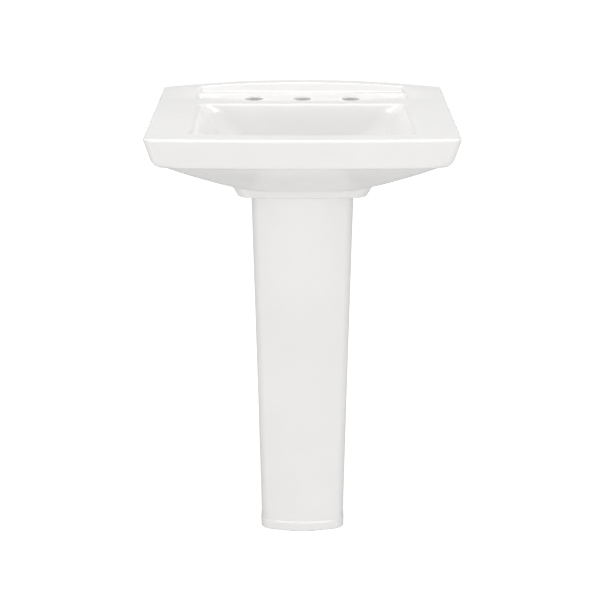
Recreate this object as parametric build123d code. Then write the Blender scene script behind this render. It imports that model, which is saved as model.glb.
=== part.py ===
from build123d import *
import os

# Pedestal sink of glazed vitreous china, with its push drain and trap.
# Millimetres. Origin on the floor under the middle of the basin; +Z up, front toward -Y, wall at +Y.

# ---- basin, overall ----
basin_front_width = 616.0
basin_taper = 18.0          # how much narrower the back is
basin_depth = 520.0
rim_height = 880.0          # the flat rim, above the floor
rail_rise = 15.6            # crest of the arched back rail, above the rim
rail_thickness = 32.0
front_bow = 12.0            # how far the front edge curves forward in the middle
rim_corner = 9.0            # corner radius in plan
china = 12.0                # wall of the casting

# ---- apron and belly ----
apron_height = 58.0
apron_side_lean = 19.0
apron_front_lean = 9.0
belly_to_wall = 116.0       # the belly ends here, and the apron runs on to the wall
belly_back_slope = 0.5
# Level rings of the belly: share of the way down from the apron to the collar, share of the basin's
# half width, share of the way back from the front edge to the collar's face, corner radius.
belly_rings = (
    (0.262, 0.825, 0.257, 56.0),
    (0.560, 0.708, 0.487, 70.0),
    (0.857, 0.539, 0.836, 56.0),
)

# ---- collar that locates the basin on the pedestal ----
collar_drop = 158.0         # from the rim to the collar's lower edge
collar_height = 16.0
collar_flare = 12.0         # how much wider each side is at the collar's top
collar_side = 20.5          # from the pedestal's side to the collar's lower edge
collar_ahead = 15.0         # from the pedestal's front to the collar's face
collar_behind = 11.0
collar_lean = 4.0
collar_corner = 20.0
collar_bow = 10.0
seat_depth = 8.0            # the pedestal's top goes this far into the collar
seat_gap = 1.5

# ---- bowl ----
bowl_front = 50.0           # width of the front rim
bowl_to_wall = 178.0        # from the bowl's back edge
wing = 85.0                 # flat rim beside the bowl
bowl_taper = 11.0           # how much narrower each side is at the back
bowl_corner = 14.0
bowl_depth = 124.0
floor_fall = 6.0            # from the foot of the bowl's walls down to the drain
floor_half_width = 118.0
floor_length = 151.0        # front to back, between the feet of the walls
back_wall_run = 26.0        # how far the back wall comes forward on its way down
floor_bow = 6.0
floor_corner = 52.0
sump_half = 44.0            # the level middle of the floor, round the drain
sump_corner = 30.0
sump_bow = 2.0

# ---- faucet deck ----
deck_drop = 5.0
deck_inset = 7.0            # from the bowl's front half width to the deck's ends
deck_end_to_wall = 124.0    # where the deck's front line meets its ends
deck_middle_to_wall = 149.0
faucet_hole_radius = 17.5
faucet_hole_spacing = 101.6
faucet_hole_back = 99.6     # from the wall to the line of holes

# ---- hollow under the deck, open below ----
access_beyond_deck = 20.0   # at each side
anchor_spacing = 280.0
anchor_hole_radius = 8.0
anchor_drop = 40.0          # below the rim

# ---- overflow ----
overflow_radius = 8.0
overflow_drop = 36.0
overflow_duct_width = 18.0
overflow_duct_height = 9.0

# ---- pedestal ----
pedestal_top_width = 207.0
pedestal_foot_width = 170.0
pedestal_ahead = 73.0       # from the drain's axis forward to the pedestal's top front edge
pedestal_front_lean = 7.0   # the foot stands this much further forward
pedestal_top_depth = 172.0
pedestal_foot_depth = 164.0
pedestal_bow = 18.0
pedestal_corner = 14.0
pedestal_wall = 13.0
foot_web = 16.0
foot_slot_half = 24.0
foot_ledge = 30.0
floor_hole_radius = 5.5
floor_hole_spacing = 92.0
floor_hole_back = 34.0      # from the foot's rear edge

# ---- drain ----
drain_from_bowl_back = 102.0
drain_hole_gap = 3.5        # between the drain body and the hole
drain_seat_gap = 1.0        # between the flange and the seat's wall
drain_seat_depth = 3.0
flange_overhang = 10.0      # of the flange beyond the drain body
flange_thickness = 3.0
flange_gasket_thickness = 1.2
throat_gap = 0.125          # between the tailpiece and the drain body
throat_flare = 4.0
drain_wall = 3.0
drain_body_length = 84.0
thread_gap = 0.05
slot_width = 9.0
slot_height = 10.0
slot_drop = 7.0             # from the flange's top to the top of the overflow slots
taper_washer_height = 11.0
taper_washer_overhang = 7.5 # beyond the drain hole
taper_washer_entry = 3.0
taper_washer_gap = 0.5
friction_thickness = 1.5
locknut_height = 9.0
locknut_wall = 7.0

# ---- push stopper ----
stopper_travel = 8.0
cap_thickness = 4.0
cap_seat_gap = 0.3          # between the pushed cap's gasket and the flare
cap_gasket_overhang = 1.5   # beyond the throat
cap_gasket_thickness = 2.5
stem_radius = 4.0
stem_gap = 0.05
stem_tip_radius = 2.6
stem_tip_length = 12.0
shoulder_gap = 0.3          # between the shoulder and the barrel
shoulder_height = 3.0
barrel_bore = 6.4
barrel_wall = 2.1
barrel_height = 36.0
barrel_floor = 3.0
guide_height = 5.0
barrel_drop = 20.0          # from the flared throat's top edge to the barrel's top
spider_ring = 1.8
spider_height = 6.0
spider_rib = 2.0
spring_inset = 1.8          # from the barrel's bore to the wire's centre line
spring_wire = 0.5
spring_turns = 7
spring_end_gap = 0.1

# ---- waste pipe and trap ----
pipe_radius = 15.875
pipe_wall = 1.2
tailpiece_length = 146.0
tailpiece_engagement = 15.0
socket_wall = 3.425
socket_gap = 0.2
socket_depth = 24.0
socket_shoulder = 3.0
slip_overlap = 18.0
trap_bend = 35.0
trap_drop = 78.0            # from the arm's centre line down to the bend's centre
outlet_leg = 30.0
arm_height = 540.0
arm_bend = 30.0
nut_wall = 5.5
nut_height = 20.0
nut_lip = 4.0
nut_sides = 8
nut_gap = 0.1
slip_washer_height = 4.0
cleanout_boss_wall = 4.0
cleanout_boss_height = 5.0
cleanout_radius = 9.0
cleanout_plug_length = 11.0
cleanout_head_height = 5.0
cleanout_gasket = 1.2
escutcheon_width = 18.125   # from the pipe to the cover's rim
escutcheon_height = 11.0
escutcheon_sheet = 1.5

# ---- worked out ----
front = -basin_depth / 2
wall = basin_depth / 2
basin_back_width = basin_front_width - basin_taper
belly_back = basin_depth - belly_to_wall
bowl_back = basin_depth - bowl_to_wall
bowl_front_half = basin_front_width / 2 - wing
bowl_back_half = bowl_front_half - bowl_taper
floor_back = bowl_back - back_wall_run
floor_front = floor_back - floor_length
deck_half_width = bowl_front_half - deck_inset
deck_end_front = basin_depth - deck_end_to_wall
deck_middle_front = basin_depth - deck_middle_to_wall
access_half_width = deck_half_width + access_beyond_deck
drain_from_front = bowl_back - drain_from_bowl_back
pedestal_front_top = drain_from_front - pedestal_ahead
pedestal_front_foot = pedestal_front_top - pedestal_front_lean
collar_bottom_half = pedestal_top_width / 2 + collar_side
collar_top_half = collar_bottom_half + collar_flare
collar_front = pedestal_front_top - collar_ahead
collar_back = pedestal_front_top + pedestal_top_depth + collar_behind
drain_y = front + drain_from_front
throat_radius = pipe_radius + throat_gap
drain_body_radius = throat_radius + drain_wall
drain_hole_radius = drain_body_radius + drain_hole_gap
flange_radius = drain_body_radius + flange_overhang
drain_seat_radius = flange_radius + drain_seat_gap
taper_washer_radius = drain_hole_radius + taper_washer_overhang
locknut_across_flats = 2 * (drain_body_radius + locknut_wall)
cap_radius = throat_radius + throat_flare
cap_gasket_radius = throat_radius + cap_gasket_overhang
barrel_radius = barrel_bore + barrel_wall
shoulder_radius = barrel_bore - shoulder_gap
spring_radius = barrel_bore - spring_inset
socket_radius = pipe_radius + socket_wall + socket_gap
nut_radius = socket_radius + nut_wall
cleanout_boss_radius = cleanout_radius + cleanout_boss_wall
escutcheon_radius = pipe_radius + escutcheon_width
floor_z = rim_height - bowl_depth
collar_z = rim_height - collar_drop
belly_z = collar_z + collar_height          # the belly's flat underside, inside the collar
seat_z = collar_z + seat_depth
flange_z = floor_z - drain_seat_depth + flange_gasket_thickness
flange_top = flange_z + flange_thickness
flare_foot = flange_top - throat_flare
gasket_shut = flare_foot + cap_gasket_radius + cap_seat_gap - throat_radius
gasket_z = gasket_shut + stopper_travel     # the raised cap's gasket
cap_z = gasket_z + cap_gasket_thickness
barrel_top = flange_top - barrel_drop
barrel_z = barrel_top - barrel_height
shoulder_top = barrel_top - guide_height - spring_end_gap
body_bottom = flange_top - drain_body_length
tailpiece_top = body_bottom + tailpiece_engagement
tailpiece_bottom = tailpiece_top - tailpiece_length
inlet_top = tailpiece_bottom + slip_overlap
bend_z = arm_height - trap_drop
outlet_y = drain_y + 2 * trap_bend
outlet_top = bend_z + outlet_leg
arm_bottom = outlet_top - slip_overlap
MIN = Align.MIN
BASE = (Align.CENTER, Align.CENTER, Align.MIN)


def outline(z, half_front, half_back, y_front, y_back, bow, corner):
    """A closed plan outline at height z, with a bowed front edge and rounded corners."""
    left = (-half_front, y_front + bow)
    right = (half_front, y_front + bow)
    edges = [
        ThreePointArc(left, (0, y_front), right),
        Line(right, (half_back, y_back)),
        Line((half_back, y_back), (-half_back, y_back)),
        Line((-half_back, y_back), left),
    ]
    face = make_face(Curve() + edges)
    return Pos(0, 0, z) * fillet(face.vertices(), corner)


def rod(radius, height, z, y=drain_y):
    """An upright cylinder about the drain's axis, or about another y."""
    return Pos(0, y, z) * Cylinder(radius, height, align=BASE)


def ring(radius, bore, height, z, y=drain_y):
    return rod(radius, height, z, y) - rod(bore, height, z, y)


def block(half_width, y0, y1, z0, z1):
    """A box centred on x, from y0 to y1 and z0 to z1."""
    size = (2 * half_width, y1 - y0, z1 - z0)
    return Pos(0, y0, z0) * Box(*size, align=(Align.CENTER, MIN, MIN))


# ---------------- basin ----------------

def hull(inset):
    """The casting's outside from the rim down to the collar, or its inside when drawn in by a wall."""
    half = basin_front_width / 2 - inset
    half_back = basin_back_width / 2 - inset
    lean = apron_side_lean
    rim = outline(rim_height - inset, half, half_back, front + inset, wall - inset, front_bow, rim_corner)
    apron_z = rim_height - apron_height
    lower = outline(apron_z, half - lean, half_back - lean, front + apron_front_lean + inset, wall - inset,
                    front_bow, rim_corner)
    brow = outline(apron_z, half - lean, half_back - lean, front + apron_front_lean + inset,
                   front + belly_back - inset, front_bow, rim_corner)
    base = outline(belly_z + inset, collar_top_half - inset, collar_top_half - inset,
                   front + collar_front - collar_lean + inset, front + collar_back - inset,
                   collar_bow, collar_corner)
    rings = [brow]
    for down, width_share, front_share, corner in belly_rings:
        drop = down * (apron_z - belly_z)
        half_width = width_share * basin_front_width / 2
        ring_front = front + front_share * collar_front
        ring_back = front + belly_back - drop * belly_back_slope
        rings.append(outline(apron_z - drop + inset / 2, half_width - inset, half_width - inset,
                             ring_front + inset, ring_back - inset, front_bow, corner))
    rings.append(base)
    body = loft([rim, lower], ruled=True)
    for upper, under in zip(rings, rings[1:]):
        body += loft([upper, under], ruled=True)
    return body


def bowl(grow):
    """The bowl's hollow, or the outside of its wall when grown by the china's thickness."""
    rim = outline(rim_height, bowl_front_half + grow, bowl_back_half + grow,
                  front + bowl_front - grow, front + bowl_back + grow, front_bow, bowl_corner + grow)
    foot = outline(floor_z + floor_fall - grow, floor_half_width + grow, floor_half_width + grow,
                   front + floor_front - grow, front + floor_back + grow, floor_bow, floor_corner + grow)
    drain = outline(floor_z - grow, sump_half, sump_half, drain_y - sump_half, drain_y + sump_half,
                    sump_bow, sump_corner)
    return loft([rim, foot], ruled=True) + loft([foot, drain], ruled=True)


def rail():
    """The arched rail along the back."""
    half = basin_back_width / 2
    ends = ((-half, rim_height), (half, rim_height))
    arch = ThreePointArc(ends[0], (0, rim_height + rail_rise), ends[1])
    face = Plane.XZ.offset(-wall) * make_face(Curve() + [arch, Line(ends[1], ends[0])])
    return extrude(face, rail_thickness)


def deck_recess():
    """The sunk faucet deck, whose front line is a shallow arc behind the bowl."""
    back = wall - rail_thickness
    left = (-deck_half_width, front + deck_end_front)
    right = (deck_half_width, front + deck_end_front)
    edges = [
        ThreePointArc(left, (0, front + deck_middle_front), right),
        Line(right, (deck_half_width, back)),
        Line((deck_half_width, back), (-deck_half_width, back)),
        Line((-deck_half_width, back), left),
    ]
    face = Pos(0, 0, rim_height - deck_drop) * make_face(Curve() + edges)
    return extrude(face, deck_drop + rail_rise + 1)


def collar():
    """The foot of the basin that wraps the pedestal's top."""
    y = front + collar_front
    top = outline(belly_z, collar_top_half, collar_top_half, y - collar_lean, front + collar_back,
                  collar_bow, collar_corner)
    low = outline(collar_z, collar_bottom_half, collar_bottom_half, y + collar_lean,
                  front + collar_back - 2 * collar_lean, collar_bow, collar_corner)
    return loft([top, low], ruled=True)


def pedestal_outline(z, inset=0.0, open_back=0.0):
    """The pedestal's plan at height z, drawn in by inset, and run on backwards by open_back."""
    share = z / seat_z
    half = (pedestal_foot_width + (pedestal_top_width - pedestal_foot_width) * share) / 2
    y0 = front + pedestal_front_foot + (pedestal_front_top - pedestal_front_foot) * share
    y1 = y0 + pedestal_foot_depth + (pedestal_top_depth - pedestal_foot_depth) * share
    corner = max(pedestal_corner - inset, 1.0)
    return outline(z, half - inset, half - inset, y0 + inset, y1 + open_back, pedestal_bow, corner)


def make_basin():
    body = hull(0) + rail() + collar()
    body -= deck_recess()
    body -= hull(china) - bowl(china)
    body -= bowl(0)
    under_deck = rim_height - deck_drop - china
    body -= block(access_half_width, front + belly_back - china, wall - china, rim_height - apron_height, under_deck)
    seat = extrude(pedestal_outline(seat_z, -seat_gap, seat_gap), -seat_depth)
    body -= seat
    inner_half = pedestal_top_width / 2 - pedestal_wall
    inner_front = front + pedestal_front_top + pedestal_bow + pedestal_wall
    body -= block(inner_half, inner_front, front + collar_back + 1, collar_z, belly_z)
    body -= rod(drain_hole_radius, bowl_depth, belly_z - 1)
    body -= rod(drain_seat_radius, drain_seat_depth + floor_fall, floor_z - drain_seat_depth)
    hole_y = wall - faucet_hole_back
    for x in (-faucet_hole_spacing, 0, faucet_hole_spacing):
        body -= Pos(x, 0, 0) * rod(faucet_hole_radius, 60, rim_height - 50, hole_y)
    for x in (-anchor_spacing / 2, anchor_spacing / 2):
        hole = Pos(x, wall - china / 2, rim_height - anchor_drop) * Rot(90, 0, 0)
        body -= hole * Cylinder(anchor_hole_radius, 2 * china)
    over = Pos(0, front + bowl_front + bowl_front / 2, rim_height - overflow_drop) * Rot(90, 0, 0)
    body -= over * Cylinder(overflow_radius, bowl_front)
    duct_top = floor_z - drain_seat_depth - 2
    body -= block(overflow_duct_width / 2, front + collar_front, drain_y, duct_top - overflow_duct_height, duct_top)
    return body


def make_pedestal():
    outer = loft([pedestal_outline(0), pedestal_outline(seat_z)], ruled=True)
    inner = loft([pedestal_outline(0, pedestal_wall, 10), pedestal_outline(seat_z, pedestal_wall, 10)], ruled=True)
    web = outer & block(pedestal_top_width, front, wall, 0, foot_web)
    y0 = front + pedestal_front_foot + pedestal_bow + pedestal_wall + foot_ledge
    web -= block(foot_slot_half, y0, wall, 0, foot_web)
    body = (outer - inner) + web
    hole_y = front + pedestal_front_foot + pedestal_foot_depth - floor_hole_back
    for x in (-floor_hole_spacing / 2, floor_hole_spacing / 2):
        body -= Pos(x, 0, 0) * rod(floor_hole_radius, foot_web + 2, -1, hole_y)
    return body


# ---------------- drain ----------------

def make_drain_body():
    body = rod(drain_body_radius, drain_body_length, body_bottom) + rod(flange_radius, flange_thickness, flange_z)
    body -= rod(throat_radius, drain_body_length, body_bottom)
    flare = Cone(throat_radius, throat_radius + throat_flare, throat_flare, align=BASE)
    body -= Pos(0, drain_y, flare_foot) * flare
    slot_z = flange_top - slot_drop - slot_height
    slot = Box(4 * drain_body_radius, slot_width, slot_height, align=BASE)
    for angle in (0, 90):
        body -= Pos(0, drain_y, slot_z) * Rot(0, 0, angle) * slot
    rim_edge = body.faces().sort_by(Axis.Z)[-1].edges().sort_by(SortBy.LENGTH)[-1]
    return fillet(rim_edge, flange_thickness / 2)


def make_taper_washer():
    bore = drain_body_radius + thread_gap
    low = belly_z - taper_washer_height
    entry = drain_hole_radius - taper_washer_gap
    profile = Polyline(
        (bore, low), (taper_washer_radius - 3, low), (taper_washer_radius, belly_z - 2),
        (taper_washer_radius, belly_z), (entry, belly_z), (entry, belly_z + taper_washer_entry),
        (bore, belly_z + taper_washer_entry), (bore, low))
    face = make_face(Plane.XZ * profile)
    return Pos(0, drain_y, 0) * revolve(face, Axis.Z)


def make_locknut():
    z = belly_z - taper_washer_height - friction_thickness - locknut_height
    nut = extrude(RegularPolygon(locknut_across_flats / 2, 6, major_radius=False), locknut_height)
    return Pos(0, drain_y, z) * nut - rod(drain_body_radius + thread_gap, locknut_height, z)


def make_stopper_cap():
    cap = rod(cap_radius, cap_thickness, cap_z)
    top = cap.faces().sort_by(Axis.Z)[-1].edges()
    return fillet(top, cap_thickness * 0.6)


def make_stopper_stem():
    shoulder_z = shoulder_top - shoulder_height
    stem = rod(stem_radius, cap_z - shoulder_z, shoulder_z)
    stem += rod(shoulder_radius, shoulder_height, shoulder_z)
    return stem + rod(stem_tip_radius, stem_tip_length, shoulder_z - stem_tip_length)


def make_cartridge():
    guide_bore = stem_radius + stem_gap
    barrel = rod(barrel_radius, barrel_height, barrel_z)
    barrel -= rod(barrel_bore, barrel_height - barrel_floor - guide_height, barrel_z + barrel_floor)
    outer = throat_radius - thread_gap
    spider_z = barrel_top - spider_height
    barrel += ring(outer, outer - spider_ring, spider_height, spider_z)
    length = outer - spider_ring / 2 - barrel_radius / 2
    rib = Pos(barrel_radius / 2, 0, 0) * Box(length, spider_rib, spider_height, align=(MIN, Align.CENTER, MIN))
    for angle in (90, 210, 330):
        barrel += Pos(0, drain_y, spider_z) * Rot(0, 0, angle) * rib
    barrel -= rod(barrel_bore, barrel_height - barrel_floor - guide_height, barrel_z + barrel_floor)
    return barrel - rod(guide_bore, guide_height, barrel_top - guide_height)


def make_spring():
    low = barrel_z + barrel_floor + spring_wire + spring_end_gap
    high = shoulder_top - shoulder_height - spring_wire - spring_end_gap
    path = Helix(pitch=(high - low) / spring_turns, height=high - low, radius=spring_radius)
    section = Plane(origin=path @ 0, z_dir=path % 0) * Circle(spring_wire)
    return Pos(0, drain_y, low) * sweep(section, path=path)


# ---------------- waste pipe and trap ----------------

def elbow(radius, bend, angle):
    """A length of round bar bent about the X axis, starting at the origin along +Z and turning toward +Y."""
    face = Plane.XY * Circle(radius)
    return revolve(face, Axis((0, bend, 0), (-1, 0, 0)), angle)


def make_tailpiece():
    return ring(pipe_radius, pipe_radius - pipe_wall, tailpiece_length, tailpiece_bottom)


def trap_run(radius):
    """The bend's solid bar at one radius: inlet leg, half turn and outlet leg."""
    half_turn = Pos(0, drain_y, bend_z) * Rot(180, 0, 0) * Rot(0, 0, 180) * elbow(radius, trap_bend, 180)
    inlet = rod(radius, inlet_top - bend_z, bend_z)
    return half_turn + inlet + rod(radius, outlet_leg, bend_z, outlet_y)


def make_j_bend():
    body = trap_run(pipe_radius)
    socket_height = socket_depth + socket_shoulder
    body += rod(socket_radius, socket_height, inlet_top - socket_height)
    body += rod(socket_radius, socket_height, outlet_top - socket_height, outlet_y)
    boss_z = bend_z - trap_bend - pipe_radius - cleanout_boss_height
    body += rod(cleanout_boss_radius, cleanout_boss_height + pipe_radius, boss_z, drain_y + trap_bend)
    body -= trap_run(pipe_radius - pipe_wall)
    body -= rod(pipe_radius + socket_gap, socket_depth, inlet_top - socket_depth)
    body -= rod(pipe_radius + socket_gap, socket_depth, outlet_top - socket_depth, outlet_y)
    return body - rod(cleanout_radius, cleanout_boss_height + pipe_radius, boss_z, drain_y + trap_bend)


def make_slip_nut(top, y):
    """An eight-sided slip nut that clamps its washer on a socket whose mouth is at height top."""
    z = top + slip_washer_height + nut_lip - nut_height
    blank = extrude(RegularPolygon(nut_radius, nut_sides), nut_height)
    nut = Pos(0, y, z) * blank
    nut -= rod(socket_radius + nut_gap, nut_height - nut_lip, z, y)
    return nut - rod(pipe_radius + nut_gap, nut_height, z, y)


def make_slip_washer(top, y):
    return ring(socket_radius, pipe_radius + nut_gap, slip_washer_height, top, y)


def arm_run(radius):
    bend = Pos(0, outlet_y, arm_height - arm_bend) * elbow(radius, arm_bend, 90)
    upright = rod(radius, arm_height - arm_bend - arm_bottom, arm_bottom, outlet_y)
    length = wall - outlet_y - arm_bend
    level = Pos(0, outlet_y + arm_bend + length / 2, arm_height) * Rot(90, 0, 0) * Cylinder(radius, length)
    return upright + bend + level


def make_trap_arm():
    return arm_run(pipe_radius) - arm_run(pipe_radius - pipe_wall)


def cleanout_z():
    return bend_z - trap_bend - pipe_radius - cleanout_boss_height


def make_cleanout_plug():
    y = drain_y + trap_bend
    head_z = cleanout_z() - cleanout_gasket - cleanout_head_height
    head = Pos(0, y, head_z) * extrude(RegularPolygon(cleanout_boss_radius, 6), cleanout_head_height)
    return head + rod(cleanout_radius - thread_gap, cleanout_plug_length, head_z, y)


def make_cleanout_gasket():
    return ring(cleanout_boss_radius - 2, cleanout_radius, cleanout_gasket, cleanout_z() - cleanout_gasket,
                drain_y + trap_bend)


def make_escutcheon():
    """A shallow domed cover about the arm, flat against the wall."""
    bore = pipe_radius + nut_gap
    dome = Pos(0, wall, arm_height) * Rot(90, 0, 0) * Cylinder(escutcheon_radius, escutcheon_height, align=BASE)
    face_edge = dome.faces().sort_by(Axis.Y)[0].edges()
    dome = fillet(face_edge, escutcheon_height - escutcheon_sheet)
    hollow = Cylinder(escutcheon_radius - escutcheon_height, escutcheon_height - escutcheon_sheet, align=BASE)
    dome -= Pos(0, wall, arm_height) * Rot(90, 0, 0) * hollow
    return dome - Pos(0, wall, arm_height) * Rot(90, 0, 0) * Cylinder(bore, 3 * escutcheon_height)


parts = {
    "basin": make_basin(),
    "pedestal": make_pedestal(),
    "drain_body": make_drain_body(),
    "flange_gasket": ring(flange_radius - 1, drain_hole_radius, flange_gasket_thickness,
                          floor_z - drain_seat_depth),
    "tapered_washer": make_taper_washer(),
    "friction_washer": ring(taper_washer_radius - 1, drain_body_radius + thread_gap, friction_thickness,
                            belly_z - taper_washer_height - friction_thickness),
    "drain_locknut": make_locknut(),
    "stopper_cap": make_stopper_cap(),
    "stopper_gasket": ring(cap_gasket_radius, stem_radius, cap_gasket_thickness, gasket_z),
    "stopper_stem": make_stopper_stem(),
    "push_cartridge": make_cartridge(),
    "cartridge_spring": make_spring(),
    "tailpiece": make_tailpiece(),
    "trap_inlet_nut": make_slip_nut(inlet_top, drain_y),
    "trap_inlet_washer": make_slip_washer(inlet_top, drain_y),
    "j_bend": make_j_bend(),
    "cleanout_plug": make_cleanout_plug(),
    "cleanout_gasket": make_cleanout_gasket(),
    "trap_union_nut": make_slip_nut(outlet_top, outlet_y),
    "trap_union_washer": make_slip_washer(outlet_top, outlet_y),
    "trap_arm": make_trap_arm(),
    "wall_escutcheon": make_escutcheon(),
}

os.makedirs("parts", exist_ok=True)
for name, solid in parts.items():
    export_step(solid, f"parts/{name}.step")
    box = solid.bounding_box()
    print(f"{name:18s} solids {len(solid.solids())} volume {solid.volume / 1000:9.1f} cm3 "
          f"x {box.min.X:7.1f} {box.max.X:7.1f} y {box.min.Y:7.1f} {box.max.Y:7.1f} z {box.min.Z:7.1f} {box.max.Z:7.1f}")
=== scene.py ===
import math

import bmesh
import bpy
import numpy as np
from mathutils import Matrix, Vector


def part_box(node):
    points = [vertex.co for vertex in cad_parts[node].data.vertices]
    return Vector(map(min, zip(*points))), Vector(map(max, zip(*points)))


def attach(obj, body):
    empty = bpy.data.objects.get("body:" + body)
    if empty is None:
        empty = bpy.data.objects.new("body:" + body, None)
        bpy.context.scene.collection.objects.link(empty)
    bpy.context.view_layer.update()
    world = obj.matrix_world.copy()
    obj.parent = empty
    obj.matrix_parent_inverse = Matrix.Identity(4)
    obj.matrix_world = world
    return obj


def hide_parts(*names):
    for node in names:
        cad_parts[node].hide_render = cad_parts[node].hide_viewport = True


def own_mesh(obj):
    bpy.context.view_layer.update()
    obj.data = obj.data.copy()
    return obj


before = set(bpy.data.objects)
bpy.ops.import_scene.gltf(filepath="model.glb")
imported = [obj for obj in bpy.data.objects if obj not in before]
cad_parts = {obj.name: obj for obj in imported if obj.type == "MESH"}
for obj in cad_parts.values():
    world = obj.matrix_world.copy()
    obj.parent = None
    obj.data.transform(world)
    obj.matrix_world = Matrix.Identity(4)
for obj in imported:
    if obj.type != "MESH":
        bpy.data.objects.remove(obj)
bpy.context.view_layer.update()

# %% [markdown]
# # A pedestal sink in glazed china
#
# The sink is two slip-cast pieces of vitreous china, a basin and a pedestal, with a push drain
# and a trap behind them. The imported CAD model is the frame: every size and place below comes
# from it. This file gives each piece the shape of its skin and the finish of its real material.

MM = 0.001
scene = bpy.context.scene

# %% [markdown]
# ## The camera
#
# A long lens from a few metres away keeps the sides of the basin almost parallel. It stands
# higher than the rim and looks down a little, so that the rim, the bowl and the faucet deck
# all show. It comes first, because every later choice is judged through it.

# %% Camera
CAMERA_BACK = 4.060          # metres in front of the middle of the basin
CAMERA_HEIGHT = 1.744
CAMERA_PITCH = 17.29         # degrees below level
LENS = 122.04                # mm, on a sensor 36 mm wide
camera_data = bpy.data.cameras.new("camera")
camera_data.lens = LENS
camera_data.sensor_width = 36.0
camera_data.shift_x = -0.004
camera = bpy.data.objects.new("camera", camera_data)
camera.location = (0.0, -CAMERA_BACK, CAMERA_HEIGHT)
camera.rotation_euler = (math.radians(90.0 - CAMERA_PITCH), 0.0, 0.0)
scene.collection.objects.link(camera)
scene.camera = camera
print("camera", tuple(round(v, 3) for v in camera.location), "lens", LENS)

# %% [markdown]
# ## Helpers for materials
#
# A finish is a small graph of nodes. One function turns a hex colour as seen on a screen into the
# linear colour that the renderer wants, one feeds a socket, one adds a node with its settings and
# links, and one starts a material with its shader. They keep each finish down to a few lines.

# %% Helpers for materials
def linear(hex_colour):
    """An sRGB hex colour as linear RGBA."""
    channels = [int(hex_colour[i:i + 2], 16) / 255 for i in (1, 3, 5)]
    return [c / 12.92 if c <= 0.04045 else ((c + 0.055) / 1.055) ** 2.4 for c in channels] + [1.0]


def feed(tree, socket, value):
    """Links a socket from another one, or sets its value."""
    if isinstance(value, bpy.types.NodeSocket):
        tree.links.new(value, socket)
    else:
        socket.default_value = value


def put(tree, kind, settings=None, inputs=None):
    """Adds a node. Settings are its own properties; inputs are values, or sockets to link from."""
    node = tree.nodes.new(kind)
    for name, value in (settings or {}).items():
        setattr(node, name, value)
    for name, value in (inputs or {}).items():
        feed(tree, node.inputs[name], value)
    return node


def set_inputs(tree, node, **values):
    """Sets or links a node's inputs, with _ for each space in their names."""
    for name, value in values.items():
        feed(tree, node.inputs[name.replace("_", " ")], value)


def set_tones(ramp_node, stops):
    """Gives the first stops of a colour ramp their positions and colours."""
    for stop, (position, colour) in zip(ramp_node.color_ramp.elements, stops):
        stop.position = position
        stop.color = colour


def start_material(name):
    """A new material; returns it, its tree and its shader, which is joined to the output."""
    material = bpy.data.materials.new(name)
    material.use_nodes = True
    tree = material.node_tree
    tree.nodes.clear()
    shader = put(tree, "ShaderNodeBsdfPrincipled")
    put(tree, "ShaderNodeOutputMaterial", inputs={"Surface": shader.outputs[0]})
    return material, tree, shader


print("helpers ready; mid grey is", round(linear("#808080")[0], 3), "in linear light")

# %% [markdown]
# ## Vitreous china
#
# The body is fired clay, nearly white, under a clear glaze about half a millimetre thick. The
# glaze flows in the kiln, so the gloss is high, and its surface has a very faint, wide waviness
# with a fine orange peel over it. The tone drifts a little from place to place where the glaze
# pooled. The colour and the bump are two noises of different sizes in millimetres.

# %% Vitreous china
GLAZE_DRIFT = 160.0          # mm, from one pool of glaze to the next
GLAZE_WAVE = 34.0            # mm, the slow waviness of the fired surface
WAVE_DEPTH = 0.6
ORANGE_PEEL = 1.6            # mm, the fine texture over it
PEEL_DEPTH = 0.06
GLAZE_ROUGHNESS = 0.09
GLAZE_IOR = 1.52


def make_china():
    """The glaze: a drifting tone under a slow wave and a fine orange peel."""
    material, tree, shader = start_material("vitreous_china_glaze")
    place = put(tree, "ShaderNodeTexCoord").outputs["Object"]
    drift = put(tree, "ShaderNodeTexNoise", inputs={
        "Vector": place, "Scale": 1 / (GLAZE_DRIFT * MM), "Detail": 2.0, "Roughness": 0.4})
    tone = put(tree, "ShaderNodeValToRGB", inputs={"Fac": drift.outputs["Fac"]})
    set_tones(tone, ((0.35, linear("#e1e0df")), (0.65, linear("#e4e3e2"))))
    wave = put(tree, "ShaderNodeTexNoise", inputs={
        "Vector": place, "Scale": 1 / (GLAZE_WAVE * MM), "Detail": 1.0, "Roughness": 0.3})
    peel = put(tree, "ShaderNodeTexNoise", inputs={
        "Vector": place, "Scale": 1 / (ORANGE_PEEL * MM), "Detail": 1.0, "Roughness": 0.5})
    slow = put(tree, "ShaderNodeBump", inputs={
        "Strength": 0.35, "Distance": WAVE_DEPTH * MM, "Height": wave.outputs["Fac"]})
    fine = put(tree, "ShaderNodeBump", inputs={
        "Strength": 0.10, "Distance": PEEL_DEPTH * MM, "Height": peel.outputs["Fac"],
        "Normal": slow.outputs[0]})
    set_inputs(tree, shader, Base_Color=tone.outputs["Color"], Roughness=GLAZE_ROUGHNESS, IOR=GLAZE_IOR,
               Normal=fine.outputs[0], Coat_Weight=0.35, Coat_Roughness=0.03, Coat_IOR=1.5)
    return material


china = make_china()
print("china:", len(china.node_tree.nodes), "nodes")

# %% [markdown]
# ## Drawing a skin off a field
#
# Slip-cast china has no sharp edge: every corner is rounded and every join is a soft fillet. Such
# a shape is easy to say as a field, a number that is negative inside the clay and positive
# outside it, and roughly the distance in millimetres to the surface. Planes and arcs are combined
# with rounded minimums and maximums, and the fillets come out by themselves. Modelling the same
# edges by hand, as bevels where four surfaces meet, would be far longer.
#
# The skin is then drawn off the field in three moves: one point in each cell of a grid that the
# surface crosses, a square between each four cells around a crossed edge, and a few steps that
# carry each point exactly onto the surface. The shading normals are the field's own slope.

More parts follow.
